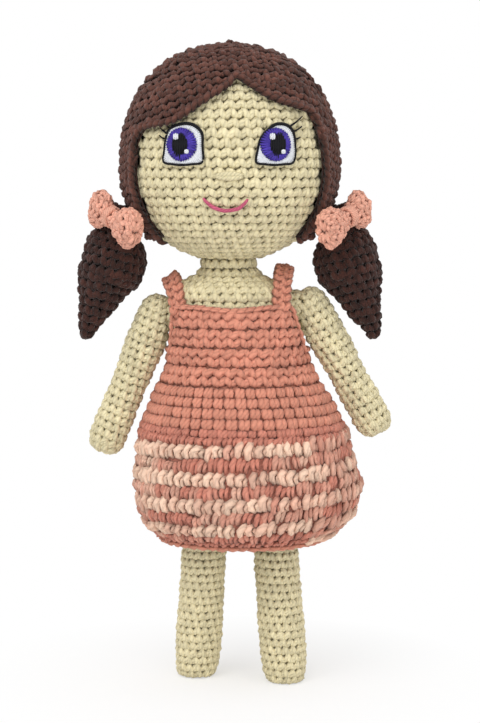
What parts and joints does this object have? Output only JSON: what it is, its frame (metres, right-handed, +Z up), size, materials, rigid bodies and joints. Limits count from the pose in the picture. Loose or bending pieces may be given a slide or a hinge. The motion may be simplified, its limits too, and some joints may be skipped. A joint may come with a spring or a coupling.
{
  "type": "crocheted doll",
  "caption": "Standing crocheted doll with a round head, tied hair bunches, an embroidered face and a sleeveless bubble dress; arms, legs, head and bunches swing or turn.",
  "frame": {"origin": "middle of the footprint of the whole doll, on the surface it stands on", "axes": "+Z up, the doll faces -Y, +X is the viewer's right"},
  "size_m": [0.1564, 0.1045, 0.3202],
  "materials": {
    "skin_yarn": "matt crocheted yarn",
    "cap_yarn": "matt crocheted yarn",
    "bunch_yarn": "matt crocheted yarn",
    "salmon_yarn": "matt crocheted yarn",
    "two_tone_yarn": "matt crocheted yarn in salmon and peach rows",
    "violet_thread": "satin stitches",
    "black_thread": "satin stitches",
    "white_thread": "satin stitches",
    "rose_yarn": "single strand",
    "stuffing": "loose fibre"
  },
  "bodies": {
    "torso": {"torso": "skin_yarn", "torso_stuffing": "stuffing", "bodice": "salmon_yarn", "skirt": "two_tone_yarn", "hem": "salmon_yarn", "left_strap": "salmon_yarn", "right_strap": "salmon_yarn"},
    "head": {"head": "skin_yarn", "head_stuffing": "stuffing", "hair_cap": "cap_yarn", "crown_knot": "cap_yarn", "nose": "skin_yarn", "mouth": "rose_yarn", "left_eye_outline": "black_thread", "left_eye_white": "white_thread", "left_eye_iris": "violet_thread", "left_eye_pupil": "black_thread", "left_eye_upper_glint": "white_thread", "left_eye_lower_glint": "white_thread", "left_eye_upper_lash": "black_thread", "left_eye_middle_lash": "black_thread", "left_eye_lower_lash": "black_thread", "right_eye_outline": "black_thread", "right_eye_white": "white_thread", "right_eye_iris": "violet_thread", "right_eye_pupil": "black_thread", "right_eye_upper_glint": "white_thread", "right_eye_lower_glint": "white_thread", "right_eye_upper_lash": "black_thread", "right_eye_middle_lash": "black_thread", "right_eye_lower_lash": "black_thread"},
    "left_bunch": {"left_bunch": "bunch_yarn", "left_bunch_stuffing": "stuffing", "left_bow": "salmon_yarn", "left_bow_band": "salmon_yarn"},
    "right_bunch": {"right_bunch": "bunch_yarn", "right_bunch_stuffing": "stuffing", "right_bow": "salmon_yarn", "right_bow_band": "salmon_yarn"},
    "left_arm": {"left_arm": "skin_yarn", "left_arm_stuffing": "stuffing"},
    "right_arm": {"right_arm": "skin_yarn", "right_arm_stuffing": "stuffing"},
    "left_leg": {"left_leg": "skin_yarn", "left_leg_stuffing": "stuffing"},
    "right_leg": {"right_leg": "skin_yarn", "right_leg_stuffing": "stuffing"}
  },
  "joints": [
    {"name": "head_turn", "type": "hinge", "parent": "torso", "child": "head", "pos_m": [-0.0009, 0, 0.21115], "axis": [0, 0, 1], "range_deg": [-10, 10]},
    {"name": "left_arm_swing", "type": "hinge", "parent": "torso", "child": "left_arm", "pos_m": [-0.03691, 0, 0.1855], "axis": [-1, 0, 0], "range_deg": [-40, 80]},
    {"name": "right_arm_swing", "type": "hinge", "parent": "torso", "child": "right_arm", "pos_m": [0.03907, 0, 0.189], "axis": [-1, 0, 0], "range_deg": [-40, 80]},
    {"name": "left_bunch_lift", "type": "hinge", "parent": "head", "child": "left_bunch", "pos_m": [-0.0564, 0.002, 0.23495], "axis": [0, 1, 0], "range_deg": [0, 35]},
    {"name": "right_bunch_lift", "type": "hinge", "parent": "head", "child": "right_bunch", "pos_m": [0.0546, 0.002, 0.23495], "axis": [0, -1, 0], "range_deg": [0, 35]},
    {"name": "left_leg_swing", "type": "hinge", "parent": "torso", "child": "left_leg", "pos_m": [-0.0132, 0, 0.078], "axis": [-1, 0, 0], "range_deg": [-30, 35]},
    {"name": "right_leg_swing", "type": "hinge", "parent": "torso", "child": "right_leg", "pos_m": [0.0214, 0, 0.078], "axis": [-1, 0, 0], "range_deg": [-30, 35]}
  ]
}
